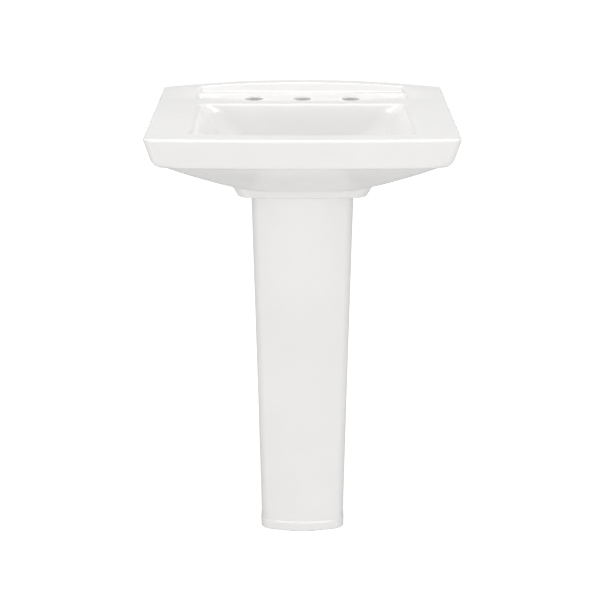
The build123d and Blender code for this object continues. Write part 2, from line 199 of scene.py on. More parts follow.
# %% Rounded combinations
def both(a, b, radius):
    """Inside both fields, with the edge between them rounded."""
    corner = np.hypot(np.maximum(a + radius, 0), np.maximum(b + radius, 0))
    return np.minimum(np.maximum(a, b), -radius) + corner


def either(a, b, radius):
    """Inside one field or the other, with a fillet between them."""
    return -both(-a, -b, radius)


def smooth_step(value, low, high):
    """0 below low, 1 above high, and an even curve between them."""
    t = np.clip((value - low) / (high - low), 0, 1)
    return t * t * (3 - 2 * t)


# %% Drawing off the skin
def field_slope(field, points, step=0.05):
    """The field's gradient at each point."""
    slope = np.empty_like(points)
    for axis in range(3):
        ahead, behind = points.copy(), points.copy()
        ahead[:, axis] += step
        behind[:, axis] -= step
        slope[:, axis] = (field(*ahead.T) - field(*behind.T)) / (2 * step)
    return slope


def settle(field, points, rounds=4):
    """Carries points onto the field's zero surface."""
    for _ in range(rounds):
        slope = field_slope(field, points)
        steep = np.maximum((slope ** 2).sum(1), 0.05)
        move = slope * (field(*points.T) / steep)[:, None]
        points = points - np.clip(move, -2.0, 2.0)
    return points


def draw_skin(field, low, high, pitch):
    """Points and squares of the field's surface inside a box, in millimetres."""
    axes = [np.arange(low[i] - 2 * pitch, high[i] + 3 * pitch, pitch) for i in range(3)]
    grid = np.meshgrid(*axes, indexing="ij")
    value = field(*grid).astype(np.float32)
    inside = value < 0
    cells = tuple(n - 1 for n in value.shape)
    total = np.zeros(cells + (3,))
    count = np.zeros(cells)
    corners = [(i, j, k) for i in (0, 1) for j in (0, 1) for k in (0, 1)]
    for start in corners:
        for axis in range(3):
            if start[axis]:
                continue
            end = tuple(s + (n == axis) for n, s in enumerate(start))
            a = value[tuple(slice(s, s + n) for s, n in zip(start, cells))]
            b = value[tuple(slice(s, s + n) for s, n in zip(end, cells))]
            crossed = (a < 0) != (b < 0)
            share = np.where(crossed, a / np.where(crossed, a - b, 1), 0)
            for n in range(3):
                along = share if n == axis else start[n]
                total[..., n] += np.where(crossed, along, 0)
            count += crossed
    held = count > 0
    number = np.full(cells, -1)
    number[held] = np.arange(held.sum())
    place = np.argwhere(held) + total[held] / count[held][:, None]
    points = np.array([a[0] for a in axes]) + place * pitch
    squares = []
    for axis in range(3):
        one, two = (axis + 1) % 3, (axis + 2) % 3
        ahead = np.roll(inside, -1, axis)
        crossed = inside != ahead
        for n in range(3):
            edge = [slice(None)] * 3
            edge[n] = slice(-1, None)
            crossed[tuple(edge)] = False
            if n != axis:
                edge[n] = slice(0, 1)
                crossed[tuple(edge)] = False
        at = np.argwhere(crossed)
        around = []
        for back_one, back_two in ((1, 1), (0, 1), (0, 0), (1, 0)):
            cell = at.copy()
            cell[:, one] -= back_one
            cell[:, two] -= back_two
            around.append(number[tuple(cell.T)])
        quad = np.stack(around, 1)
        leaving = inside[tuple(at.T)]
        quad[~leaving] = quad[~leaving][:, ::-1]
        squares.append(quad)
    return points, np.concatenate(squares)


def evaluated_mesh(piece):
    """Keeps the mesh that the piece's modifiers give, in the modifiers' place."""
    depsgraph = bpy.context.evaluated_depsgraph_get()
    made = bpy.data.meshes.new_from_object(piece.evaluated_get(depsgraph))
    piece.modifiers.clear()
    piece.data = made
    made.name = piece.name
    return made


def skin_object(name, field, low, high, pitch, keep):
    """A mesh object of the field's surface, thinned to a share of its faces where it is flat."""
    points, squares = draw_skin(field, low, high, pitch)
    rough = bpy.data.meshes.new(name)
    rough.from_pydata((settle(field, points) * MM).tolist(), [], squares.tolist())
    piece = bpy.data.objects.new(name, rough)
    scene.collection.objects.link(piece)
    thin = piece.modifiers.new("thin", "DECIMATE")
    thin.ratio = keep
    mesh = evaluated_mesh(piece)
    place = np.empty(len(mesh.vertices) * 3)
    mesh.vertices.foreach_get("co", place)
    place = settle(field, place.reshape(-1, 3) / MM)
    mesh.vertices.foreach_set("co", (place * MM).ravel())
    slope = field_slope(field, place)
    slope /= np.linalg.norm(slope, axis=1)[:, None]
    mesh.shade_smooth()
    mesh.normals_split_custom_set_from_vertices(slope.tolist())
    print(name, "triangles", sum(len(p.vertices) - 2 for p in mesh.polygons))
    return piece


# %% [markdown]
# ## The basin
#
# The basin is one casting: a flat rim round a deep bowl with sloping walls, a sunk deck with three
# faucet holes, an arched rail along the wall, a plain apron that leans inward, and a belly that
# sweeps down to a collar. A flat facet runs down the front of the belly to the collar. The
# numbers are millimetres, with y from the front edge backward and z down from the rim as the
# potter would measure them, and each feature is a function of its own.

# %% Sizes of the basin
box_low, box_high = [np.array(corner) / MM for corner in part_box("basin")]
WIDTH_FRONT = box_high[0] - box_low[0]
DEPTH = box_high[1] - box_low[1]
FRONT = box_low[1]
WALL = box_high[1]
RAIL_RISE = 15.6
RIM = box_high[2] - RAIL_RISE
WIDTH_BACK = WIDTH_FRONT - 18.0
BOW = 12.0                   # the front edge's middle stands this far ahead of its ends
WALL_THICKNESS = 12.0
APRON = 60.0                 # the apron's height
SIDE_LEAN = 19.0             # how far the apron leans in at its foot
FRONT_LEAN = 9.0
RIM_ROUND = 4.5
DECK_HALF = 216.0
DECK_END, DECK_MIDDLE = 396.0, 371.0     # the deck's front line, from the front edge
DECK_SINK = 5.0
DECK_THICKNESS = 17.0
RAIL_DEPTH = 32.0
FACET_TOP = 62.0             # where the belly's facet starts, below the rim
FACET_SLOPE = 0.55
BELLY_FLOOR = 142.0
BOWL_FRONT, BOWL_BACK = 50.0, 342.0      # the bowl's edges, from the front edge
BOWL_FRONT_HALF, BOWL_TAPER, BOWL_FLOOR_HALF = 223.0, 11.0, 118.0
BOWL_DEPTH = 118.0           # where the walls end; the floor falls a little further
FRONT_RUN, SIDE_RUN, BACK_RUN = 115.0, 105.0, 26.0
DRAIN_BACK = 240.0           # the drain's axis, from the front edge
DRAIN_DROP = 124.0
COLLAR_FRONT, COLLAR_BACK = 148.0, 350.0
COLLAR_HALF = 136.0
COLLAR_DROP = 155.0
SEAT_DROP = 150.0            # the pedestal's top, below the rim
HOLLOW_FRONT = 392.0
FAUCET_HOLES, FAUCET_HOLE_RADIUS, FAUCET_TO_WALL = (-101.6, 0.0, 101.6), 17.5, 99.6
ANCHOR_HOLES, ANCHOR_RADIUS, ANCHOR_DROP = (-140.0, 140.0), 8.0, 40.0
OVERFLOW_RADIUS, OVERFLOW_DROP = 8.0, 36.0
print("basin", round(WIDTH_FRONT, 1), "x", round(DEPTH, 1), "rim at", round(RIM, 1))


# %% The outside of the basin
def plan_sides(x, y, z):
    """The apron's front and sides, leaning inward below the rim."""
    drop = (RIM - z) / APRON
    front = FRONT + BOW * (x / (WIDTH_FRONT / 2)) ** 2 + FRONT_LEAN * drop - y
    back_share = (y - FRONT - BOW) / (DEPTH - BOW)
    half = (WIDTH_FRONT + (WIDTH_BACK - WIDTH_FRONT) * back_share) / 2 - SIDE_LEAN * drop
    side = (np.abs(x) - half) / math.hypot(1, SIDE_LEAN / APRON)
    return both(front / math.hypot(1, FRONT_LEAN / APRON), side, 11.0)


def arc_lip(x, y):
    """How far a point is in front of the deck's front line, a shallow arc behind the bowl."""
    sagitta = DECK_END - DECK_MIDDLE
    radius = (DECK_HALF ** 2 + sagitta ** 2) / (2 * sagitta)
    return np.hypot(x, y - (FRONT + DECK_MIDDLE + radius)) - radius


def top_height(x, y):
    """The height of the upper side: the rim, the sunk deck and the arched rail."""
    end = DECK_HALF - np.abs(x)
    rail_foot = WALL - RAIL_DEPTH
    deck = np.minimum(end, -arc_lip(x, y))
    sunk = smooth_step(deck, -4.0, 5.0) * smooth_step(rail_foot - y, -5.0, 2.0)
    crest = RAIL_RISE * (1 - (x / (WIDTH_BACK / 2)) ** 2)
    slack = 6.0 + 104.0 * smooth_step(np.abs(x), 212.0, 228.0)
    rise = smooth_step(y - rail_foot, -slack, 7.0)
    return RIM - DECK_SINK * sunk + np.maximum(crest, 0) * rise


def either_high(a, b, width):
    """The higher of two heights, blended over a width."""
    t = np.clip(0.5 + 0.5 * (a - b) / width, 0, 1)
    return b + (a - b) * t + width * t * (1 - t)


def under_height(x, y):
    """The height of the underside: a swept belly cut by a flat facet, and a level floor."""
    back = y - FRONT
    foot = 8.0 + BOW * (x / 300.0) ** 2
    middle = 215.6
    sweep = 1.82 + 1.7 * (x / 300.0) ** 2
    across = 1 - np.clip(np.abs(x) / 307.0, 0, 1) ** 2.14
    across = across + 0.02 * smooth_step(np.abs(x), 190.0, 250.0)
    along = 1 - np.clip((middle - back) / (middle - foot), 0, 1) ** sweep
    belly = -either_high(52.6 + 102.0 * across * along, APRON, 5.0)
    facet = -FACET_TOP - FACET_SLOPE * (back - 8.0)
    return RIM + either_high(either_high(belly, facet, 4.0), -BELLY_FLOOR, 5.0)


def shell(x, y, z):
    """The whole outside of the casting above the collar."""
    under = (under_height(x, y) - z) / 1.12
    behind = (y - (FRONT + 404.0) + 0.5 * (RIM - APRON - z)) / math.hypot(1, 0.5)
    lower = both(under, behind, 8.0)
    skirt = RIM - APRON - z
    lower = np.minimum(lower, skirt)
    foot_round = 5.0 + 13.0 * smooth_step(np.abs(x), 235.0, 302.0)
    body = both(plan_sides(x, y, z), lower, foot_round)
    body = both(body, z - top_height(x, y), RIM_ROUND)
    return both(body, y - WALL, 2.5)


# %% The bowl
def bowl(x, y, z):
    """The bowl's hollow: four sloping walls and a floor that falls to the drain."""
    share = (RIM - z) / BOWL_DEPTH
    bow = BOW * (x / BOWL_FRONT_HALF) ** 2 * (1 - 0.5 * share)
    front = (FRONT + BOWL_FRONT + bow + FRONT_RUN * share - y) / math.hypot(1, FRONT_RUN / BOWL_DEPTH)
    behind = (y - (FRONT + BOWL_BACK - BACK_RUN * share)) / math.hypot(1, BACK_RUN / BOWL_DEPTH)
    back_share = (y - FRONT - BOWL_FRONT) / (BOWL_BACK - BOWL_FRONT)
    rim_half = BOWL_FRONT_HALF - BOWL_TAPER * back_share
    half = rim_half + (BOWL_FLOOR_HALF - rim_half) * share
    side = (np.abs(x) - half) / math.hypot(1, SIDE_RUN / BOWL_DEPTH)
    corner = 12.0 + 20.0 * smooth_step(share, 0.0, 0.14) + 8.0 * smooth_step(share, 0.2, 1.0)
    walls = both(np.maximum(front, behind), side, corner)
    away = np.hypot(x / BOWL_FLOOR_HALF, (y - FRONT - DRAIN_BACK) / 76.0)
    floor = RIM - DRAIN_DROP + 6.0 * smooth_step(away, 0.35, 1.4)
    return both(walls, floor - z, 34.0)


# %% The collar, the seat for the pedestal, and what is cut away
def collar(x, y, z):
    """The foot of the basin that wraps the top of the pedestal."""
    share = (RIM - BELLY_FLOOR - z) / 16.0
    half = COLLAR_HALF - 8.0 * share
    front = FRONT + COLLAR_FRONT + 8.0 * share + 10.0 * (x / COLLAR_HALF) ** 2 - y
    side = np.abs(x) - half
    behind = y - (FRONT + COLLAR_BACK - 8.0 * share)
    ring = both(both(front, side, 20.0), behind, 14.0)
    return both(both(ring, RIM - COLLAR_DROP - z, 3.0), z - (RIM - 130.0), 1.0)


def pedestal_plan(x, y, z, inset=0.0):
    """The outside of the pedestal's walls at height z, drawn in by inset."""
    share = z / (RIM - SEAT_DROP)
    half = (170.0 + 37.0 * share) / 2 - inset
    front = FRONT + 160.0 + 7.0 * share + 18.0 * (x / (half + inset)) ** 2 + inset - y
    return both(front, np.abs(x) - half, max(14.0 - inset, 2.0))


def upright(x, y, centre_x, centre_y, radius):
    """A round bar along z."""
    return np.hypot(x - centre_x, y - centre_y) - radius


def level_hole(x, z, centre_x, centre_z, radius):
    """A round bar along y."""
    return np.hypot(x - centre_x, z - centre_z) - radius


def basin_field(x, y, z):
    """The casting: its outside, less the bowl, the hollow under the deck and the holes."""
    outside = shell(x, y, z)
    body = either(outside, collar(x, y, z), 2.5)
    body = both(body, -bowl(x, y, z), RIM_ROUND)
    hollow_front = (FRONT + HOLLOW_FRONT) - y
    hollow_top = z - (RIM - DECK_THICKNESS)
    pocket = both(outside + WALL_THICKNESS, hollow_front, 4.0)
    pocket = both(pocket, hollow_top, 4.0)
    below = both(plan_sides(x, y, z) + WALL_THICKNESS, hollow_front, 4.0)
    below = both(below, y - (WALL - WALL_THICKNESS), 4.0)
    below = both(below, hollow_top, 4.0)
    body = both(body, -np.minimum(pocket, below), 3.0)
    seat_z = RIM - SEAT_DROP
    seat = both(pedestal_plan(x, y, seat_z, -1.5), z - seat_z, 1.0)
    body = both(body, -seat, 2.0)
    for hole_x in FAUCET_HOLES:
        body = both(body, -upright(x, y, hole_x, WALL - FAUCET_TO_WALL, FAUCET_HOLE_RADIUS), 1.6)
    for hole_x in ANCHOR_HOLES:
        bar = level_hole(x, z, hole_x, RIM - ANCHOR_DROP, ANCHOR_RADIUS)
        hole = np.maximum(bar, (WALL - 24.0) - y)
        body = both(body, -hole, 1.5)
    return body


def cut_drain(x, y, z):
    """The basin with its drain hole, the seat for the flange and the overflow."""
    drain_y = FRONT + DRAIN_BACK
    body = basin_field(x, y, z)
    body = both(body, -upright(x, y, 0.0, drain_y, 22.5), 1.2)
    seat = np.maximum(upright(x, y, 0.0, drain_y, 30.0), (RIM - DRAIN_DROP - 3.0) - z)
    body = both(body, -seat, 1.2)
    inlet = np.maximum(level_hole(x, z, 0.0, RIM - OVERFLOW_DROP, OVERFLOW_RADIUS), y - (FRONT + 100.0))
    inlet = np.maximum(inlet, (FRONT + 52.0) - y)
    return both(body, -inlet, 2.0)


# %% The basin's skin
basin = skin_object("basin_glazed", cut_drain, box_low, box_high, 3.0, 0.75)
basin.data.materials.append(china)
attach(basin, "fixture")
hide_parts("basin")

# %% [markdown]
# ## The pedestal
#
# The pedestal is a hollow column, open at the back for the waste pipe, a little narrower at the
# floor. Its front bows outward and its foot has a web with two screw holes. It is drawn off a field
# like the basin, because its corners and its rim are just as soft.

# %% The pedestal
PEDESTAL_WALL = 13.0
WEB_HEIGHT = 16.0
SCREW_HOLES, SCREW_RADIUS = (-46.0, 46.0), 5.5


def pedestal_field(x, y, z):
    """The column: its outside, less its inside, with the web at the foot and its holes."""
    height = RIM - SEAT_DROP
    share = z / height
    behind = y - (FRONT + 324.0 + 15.0 * share)
    outside = both(pedestal_plan(x, y, z), behind, 3.0)
    inside = pedestal_plan(x, y, z, PEDESTAL_WALL)
    body = both(outside, -inside, 3.0)
    web = np.maximum(outside, z - WEB_HEIGHT)
    slot = both(np.abs(x) - 24.0, (FRONT + 221.0) - y, 6.0)
    web = both(web, -slot, 3.0)
    for hole_x in SCREW_HOLES:
        web = both(web, -upright(x, y, hole_x, 30.0, SCREW_RADIUS), 1.0)
    body = either(body, web, 6.0)
    body = both(body, z - height, 3.0)
    return both(body, -z, 3.0)


ped_low, ped_high = [np.array(corner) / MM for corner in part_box("pedestal")]
pedestal = skin_object("pedestal_glazed", pedestal_field, ped_low, ped_high, 3.0, 0.4)
pedestal.data.materials.append(china)
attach(pedestal, "fixture")
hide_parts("pedestal")

# %% [markdown]
# ## The finishes of the drain and the trap
#
# Brass tube is plated with nickel and chrome, washers are moulded rubber, nylon and foam, and the
# cartridge is acetal. Each finish is one graph: a noise as fine as the grain of its making, which
# moves the tone, the gloss and the relief together, stretched along the way the piece was made.
# One function builds them all, because they differ only in numbers.

# %% The finishes
def make_finish(name, dark, light, roughness, grain, depth, stretch=(1, 1, 1), **shader_values):
    """A finish with two tones, a roughness, and a grain and its depth in millimetres."""
    material, tree, shader = start_material(name)
    place = put(tree, "ShaderNodeTexCoord").outputs["Object"]
    along = put(tree, "ShaderNodeMapping", inputs={"Vector": place, "Scale": stretch})
    noise = put(tree, "ShaderNodeTexNoise", inputs={
        "Vector": along.outputs[0], "Scale": 1 / (grain * MM), "Detail": 3.0, "Roughness": 0.5})
    tone = put(tree, "ShaderNodeValToRGB", inputs={"Fac": noise.outputs["Fac"]})
    set_tones(tone, ((0.3, linear(dark)), (0.7, linear(light))))
    gloss = put(tree, "ShaderNodeMapRange", inputs={
        "Value": noise.outputs["Fac"], "To Min": 0.8 * roughness, "To Max": 1.2 * roughness})
    relief = put(tree, "ShaderNodeBump", inputs={
        "Strength": 0.6, "Distance": depth * MM, "Height": noise.outputs["Fac"]})
    set_inputs(tree, shader, Base_Color=tone.outputs["Color"], Roughness=gloss.outputs[0],
               Normal=relief.outputs[0], **shader_values)
    return material


finishes = {
    "china": china,
    "chrome": make_finish("polished_chrome_plate", "#c6c9cd", "#d2d5d8", 0.07, 9.0, 0.004, Metallic=1.0),
    "brass": make_finish("turned_yellow_brass", "#b8924c", "#d0ab63", 0.24, 1.2, 0.01,
                         (0.3, 0.3, 6.0), Metallic=1.0),
    "spring_steel": make_finish("drawn_spring_steel", "#8f9194", "#a9abae", 0.28, 0.4, 0.004, Metallic=1.0),
    "rubber": make_finish("moulded_nitrile_rubber", "#161617", "#232324", 0.68, 0.9, 0.02, IOR=1.52),
    "foam": make_finish("closed_cell_foam", "#2a2a2b", "#3d3d3e", 0.92, 0.7, 0.15, IOR=1.45),
    "nylon": make_finish("moulded_nylon", "#d6d2c5", "#e2dfd4", 0.42, 1.5, 0.01, IOR=1.53,
                         Subsurface_Weight=0.15, Subsurface_Scale=0.002),
    "acetal": make_finish("moulded_acetal", "#dededa", "#e9e9e5", 0.30, 1.8, 0.008, IOR=1.48,
                          Subsurface_Weight=0.12, Subsurface_Scale=0.002),
}
print("finishes:", ", ".join(m.name for m in finishes.values()))

# %% [markdown]
# ## The unglazed hollow, in painted shade
#
# The hollow under the deck is left unglazed on a real basin. Its clay is painted a dark grey as shade,
# so that it shows dark through the faucet holes. The same field that drew the basin tells which
# faces lie in it.

# %% The unglazed hollow, in painted shade
# Painted shade: the unglazed clay is given a dark grey that stands in for the shade inside the hollow.
bisque_with_painted_shade = make_finish("unglazed_body_painted_shade", "#7f7a71", "#8e897f", 0.8, 2.0, 0.03, IOR=1.5)
centres = np.array([tuple(p.center) for p in basin.data.polygons]) / MM
painted_shade_faces = (shell(*centres.T) < -8.0) & (centres[:, 1] > FRONT + 388.0) & (centres[:, 2] < RIM - 14.0)
basin.data.materials.append(bisque_with_painted_shade)
basin.data.polygons.foreach_set("material_index", painted_shade_faces.astype(np.int32))
print("unglazed faces in the basin's hollow:", int(painted_shade_faces.sum()))

# %% [markdown]
# ## Turned, moulded and cut pieces
#
# A lathe turns a piece from its outline, so the round pieces are outlines in millimetres spun round
# an axis, with each corner eased as a tool would leave it. The nuts, the cartridge and the drain
# body have flats, ribs and slots, which the CAD model already has exactly. Those keep its mesh: the
# seams are joined, and a bevel breaks the edges. Every piece then goes through one function that
# gives it its finish and its body, and hides the CAD node that it stands for.

# %% Turning
def eased(corners, radius, steps=3):
    """A closed outline with an arc at each corner that isn't on the axis."""
    points = []
    for n, corner in enumerate(corners):
        at = Vector(corner)
        if at.x == 0.0:
            points.append(at)
            continue
        before = Vector(corners[n - 1]) - at
        after = Vector(corners[(n + 1) % len(corners)]) - at
        reach = min(radius, 0.4 * before.length, 0.4 * after.length)
        start, end = at + before.normalized() * reach, at + after.normalized() * reach
        for step in range(steps + 1):
            t = step / steps
            points.append((1 - t) ** 2 * start + 2 * t * (1 - t) * at + t * t * end)
    return points


def mesh_object(name, points, faces):
    """An object of points in millimetres, closed, with its faces turned outward."""
    shape = bmesh.new()
    verts = [shape.verts.new(Vector(p) * MM) for p in points]
    for face in faces:
        shape.faces.new([verts[n] for n in face])
    bmesh.ops.remove_doubles(shape, verts=shape.verts, dist=1e-7)
    bmesh.ops.recalc_face_normals(shape, faces=shape.faces)
    mesh = bpy.data.meshes.new(name)
    shape.to_mesh(mesh)
    shape.free()
    piece = bpy.data.objects.new(name, mesh)
    scene.collection.objects.link(piece)
    return piece


def turned(name, corners, ease=0.3, sides=96, centre=None, toward_wall=False):
    """A piece spun from an outline of (distance from the axis, place along it) in millimetres."""
    outline = eased(corners, ease)
    centre_y, centre_z = centre or (DRAIN_Y, 0.0)
    points = []
    for point in outline:
        for n in range(sides):
            angle = 2 * math.pi * n / sides
            across, along = point.x * math.cos(angle), point.x * math.sin(angle)
            if toward_wall:
                points.append((across, centre_y + point.y, centre_z + along))
            else:
                points.append((across, centre_y + along, centre_z + point.y))
    faces = []
    for row in range(len(outline)):
        after = (row + 1) % len(outline)
        on_axis = outline[row].x == 0.0, outline[after].x == 0.0
        if all(on_axis):
            continue
        for n in range(sides):
            m = (n + 1) % sides
            a, b, c, d = row * sides + n, row * sides + m, after * sides + m, after * sides + n
            if on_axis[0]:
                faces.append((row * sides, c, d))
            elif on_axis[1]:
                faces.append((a, b, after * sides))
            else:
                faces.append((a, b, c, d))
    used = sorted({n for face in faces for n in face})
    number = {n: k for k, n in enumerate(used)}
    return mesh_object(name, [points[n] for n in used], [[number[n] for n in f] for f in faces])


# %% Pieces that keep the CAD model's mesh, and the last step for every piece
def from_cad(name, node, edge):
    """The node's own shape with its seams joined and its sharp edges broken by a bevel."""
    shape = bmesh.new()
    shape.from_mesh(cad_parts[node].data)
    bmesh.ops.remove_doubles(shape, verts=shape.verts, dist=1e-6)
    bmesh.ops.dissolve_limit(shape, angle_limit=math.radians(0.5), verts=shape.verts, edges=shape.edges)
    mesh = bpy.data.meshes.new(name)
    shape.to_mesh(mesh)
    shape.free()
    mesh.materials.clear()
    piece = bpy.data.objects.new(name, mesh)
    scene.collection.objects.link(piece)
    bevel = piece.modifiers.new("edge", "BEVEL")
    bevel.width = edge * MM
    bevel.segments = 2
    bevel.limit_method = "ANGLE"
    bevel.angle_limit = math.radians(40)
    evaluated_mesh(piece)
    return piece


def fit_out(piece, node, finish, body="fixture", sharp=38.0):
    """Gives a piece its finish, shading and body, and hides the CAD node that it stands for."""
    if not piece.data.materials:
        piece.data.materials.append(finishes[finish])
    piece.data.shade_smooth()
    piece.data.set_sharp_from_angle(angle=math.radians(sharp))
    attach(piece, body)
    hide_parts(node)
    shape = bmesh.new()
    shape.from_mesh(piece.data)
    open_edges = sum(not e.is_manifold for e in shape.edges)
    volume = shape.calc_volume(signed=True) * 1e6
    print(f"{piece.name}: {len(shape.faces)} faces, {open_edges} open edges, {volume:.2f} cm3")
    shape.free()
    return piece


# %% [markdown]
# ## Rules that repeat or follow a path
#
# A pipe follows a path with bends of one radius, a spring is a wire along a helix, and a thread is
# a ridge along a helix round its piece. Geometry Nodes says each of these once, with its sizes as
# named inputs, so the same tree draws the trap's bend, its arm and the tailpiece.

# %% Trees of nodes
def start_tree(name, sizes):
    """A tree that takes a mesh and named sizes; returns it, its input sockets and its output node."""
    tree = bpy.data.node_groups.new(name, "GeometryNodeTree")
    tree.interface.new_socket("Geometry", in_out="INPUT", socket_type="NodeSocketGeometry")
    for label, kind in sizes.items():
        tree.interface.new_socket(label, in_out="INPUT", socket_type="NodeSocket" + kind)
    tree.interface.new_socket("Material", in_out="INPUT", socket_type="NodeSocketMaterial")
    tree.interface.new_socket("Geometry", in_out="OUTPUT", socket_type="NodeSocketGeometry")
    return tree, put(tree, "NodeGroupInput").outputs, put(tree, "NodeGroupOutput")


def end_tree(tree, given, out, shapes):
    """Joins the shapes, makes them real and gives them the material."""
    joined = put(tree, "GeometryNodeJoinGeometry")
    for shape in shapes:
        tree.links.new(shape, joined.inputs[0])
    real = put(tree, "GeometryNodeRealizeInstances", inputs={"Geometry": joined.outputs[0]})
    merged = put(tree, "GeometryNodeMergeByDistance", inputs={
        "Geometry": real.outputs[0], "Distance": 1e-6})
    painted = put(tree, "GeometryNodeSetMaterial", inputs={
        "Geometry": merged.outputs[0], "Material": given["Material"]})
    tree.links.new(painted.outputs[0], out.inputs["Geometry"])


def grow(piece, tree, **values):
    """Runs a tree on a piece, with each value set by its socket, and keeps the mesh."""
    modifier = piece.modifiers.new("grow", "NODES")
    modifier.node_group = tree
    for item in tree.interface.items_tree:
        if item.in_out == "INPUT" and item.name in values:
            modifier[item.identifier] = values[item.name]
    evaluated_mesh(piece)
    return piece


def pipe_tree():
    """A tube of one wall along a line of points, with every corner turned to one radius."""
    tree, given, out = start_tree("bent_tube", {"Radius": "Float", "Wall": "Float", "Bend": "Float"})
    line = put(tree, "GeometryNodeMeshToCurve", inputs={"Mesh": given["Geometry"]})
    path = put(tree, "GeometryNodeFilletCurve", {"mode": "POLY"}, {
        "Curve": line.outputs[0], "Count": 24, "Radius": given["Bend"], "Limit Radius": True})
    circle = put(tree, "GeometryNodeCurvePrimitiveCircle", inputs={
        "Resolution": 72, "Radius": given["Radius"]})
    skin = put(tree, "GeometryNodeCurveToMesh", inputs={
        "Curve": path.outputs[0], "Profile Curve": circle.outputs[0], "Fill Caps": False})
    inward = put(tree, "ShaderNodeMath", {"operation": "MULTIPLY"}, {0: given["Wall"], 1: -1.0})
    bore = put(tree, "GeometryNodeExtrudeMesh", {"mode": "FACES"}, {
        "Mesh": skin.outputs[0], "Offset Scale": inward.outputs[0], "Individual": False})
    turned_in = put(tree, "GeometryNodeFlipFaces", inputs={"Mesh": bore.outputs[0]})
    end_tree(tree, given, out, [skin.outputs[0], turned_in.outputs[0]])
    return tree


def helix_tree(name, sides):
    """A wire of a few sides along a helix from a foot upward, added to the mesh given."""
    sizes = {"Coil": "Float", "Wire": "Float", "Turns": "Float", "Height": "Float", "Foot": "Vector"}
    tree, given, out = start_tree(name, sizes)
    helix = put(tree, "GeometryNodeCurveSpiral", inputs={
        "Resolution": 48, "Rotations": given["Turns"], "Start Radius": given["Coil"],
        "End Radius": given["Coil"], "Height": given["Height"]})
    level = put(tree, "GeometryNodeSetCurveNormal", {"mode": "Z_UP"}, {"Curve": helix.outputs[0]})
    circle = put(tree, "GeometryNodeCurvePrimitiveCircle", inputs={
        "Resolution": sides, "Radius": given["Wire"]})
    wire = put(tree, "GeometryNodeCurveToMesh", inputs={
        "Curve": level.outputs[0], "Profile Curve": circle.outputs[0], "Fill Caps": True})
    moved = put(tree, "GeometryNodeTransform", inputs={
        "Geometry": wire.outputs[0], "Translation": given["Foot"]})
    end_tree(tree, given, out, [given["Geometry"], moved.outputs[0]])
    return tree


bent_tube = pipe_tree()
round_wire = helix_tree("coil_spring", 12)
thread_ridge = helix_tree("screw_thread", 4)
print("trees:", bent_tube.name, round_wire.name, thread_ridge.name)

# %% [markdown]
# ## The drain
#
# A brass drain body hangs in the bowl's hole by a flange, on a foam gasket. Below the bowl a tapered
# rubber washer, a slippery nylon one and a hexagonal locknut clamp it. The body is threaded all
# the way up. Inside stands an acetal cartridge with a spring, and the stopper's stem slides in it:
# the chromed cap, its gasket and the stem hang on one body and move together.

# %% Sizes of the drain
def span(node):
    """The lowest and highest place of a CAD node, in millimetres."""
    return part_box(node)[0].z / MM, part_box(node)[1].z / MM


def reach_of(node):
    """Half the width of a CAD node, in millimetres."""
    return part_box(node)[1].x / MM


DRAIN_Y = (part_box("drain_body")[0].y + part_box("drain_body")[1].y) / 2 / MM
BODY_RADIUS = 19.0
THREAD_PITCH = 2.2
THREAD_HEIGHT = 0.65
THREAD_GAP = 0.05
THREADED_LENGTH = 62.0
CORE_LENGTH = 60.0           # the part of the body that is drawn in to the thread's root
THREAD_FOOT = 1.5
STEM_RADIUS = 4.0
SHOULDER_HEIGHT = 3.0
TIP_RADIUS = 2.6
TIP_LENGTH = 12.0
SPRING_WIRE = 0.5
SPRING_TURNS = 7.0


def ring_corners(bore, radius, low, high):
    """The outline of a plain ring."""
    return [(bore, low), (radius, low), (radius, high), (bore, high)]


# %% The drain body, its washers and its locknut
body_low = span("drain_body")[0]
drain = from_cad("drain_body_chromed", "drain_body", 0.15)
for vert in drain.data.vertices:
    away = math.hypot(vert.co.x, vert.co.y - DRAIN_Y * MM) / MM
    if abs(away - BODY_RADIUS) < 0.3 and vert.co.z / MM < body_low + CORE_LENGTH:
        share = (BODY_RADIUS - THREAD_HEIGHT) / away
        vert.co.x *= share
        vert.co.y = DRAIN_Y * MM + (vert.co.y - DRAIN_Y * MM) * share
grow(drain, thread_ridge, Coil=(BODY_RADIUS - THREAD_HEIGHT) * MM, Wire=THREAD_HEIGHT * MM,
     Turns=THREADED_LENGTH / THREAD_PITCH, Height=THREADED_LENGTH * MM,
     Foot=(0.0, DRAIN_Y * MM, (body_low + THREAD_FOOT) * MM), Material=finishes["chrome"])
fit_out(drain, "drain_body", "chrome")

gasket = turned("flange_gasket_foam", ring_corners(
    BODY_RADIUS + THREAD_GAP, reach_of("flange_gasket"), *span("flange_gasket")), 0.35)
fit_out(gasket, "flange_gasket", "foam")

taper_low, taper_high = span("tapered_washer")
taper_radius = reach_of("tapered_washer")
entry_radius = 22.0
belly_z = taper_high - 3.0
taper = turned("tapered_washer_rubber", [
    (BODY_RADIUS + THREAD_GAP, taper_low), (taper_radius - 3.0, taper_low), (taper_radius, belly_z - 2.0),
    (taper_radius, belly_z), (entry_radius, belly_z), (entry_radius, taper_high),
    (BODY_RADIUS + THREAD_GAP, taper_high)], 0.8)
fit_out(taper, "tapered_washer", "rubber")

slip = turned("friction_washer_nylon", ring_corners(
    BODY_RADIUS + THREAD_GAP, reach_of("friction_washer"), *span("friction_washer")), 0.3)
fit_out(slip, "friction_washer", "nylon")
fit_out(from_cad("drain_locknut_brass", "drain_locknut", 0.6), "drain_locknut", "brass")

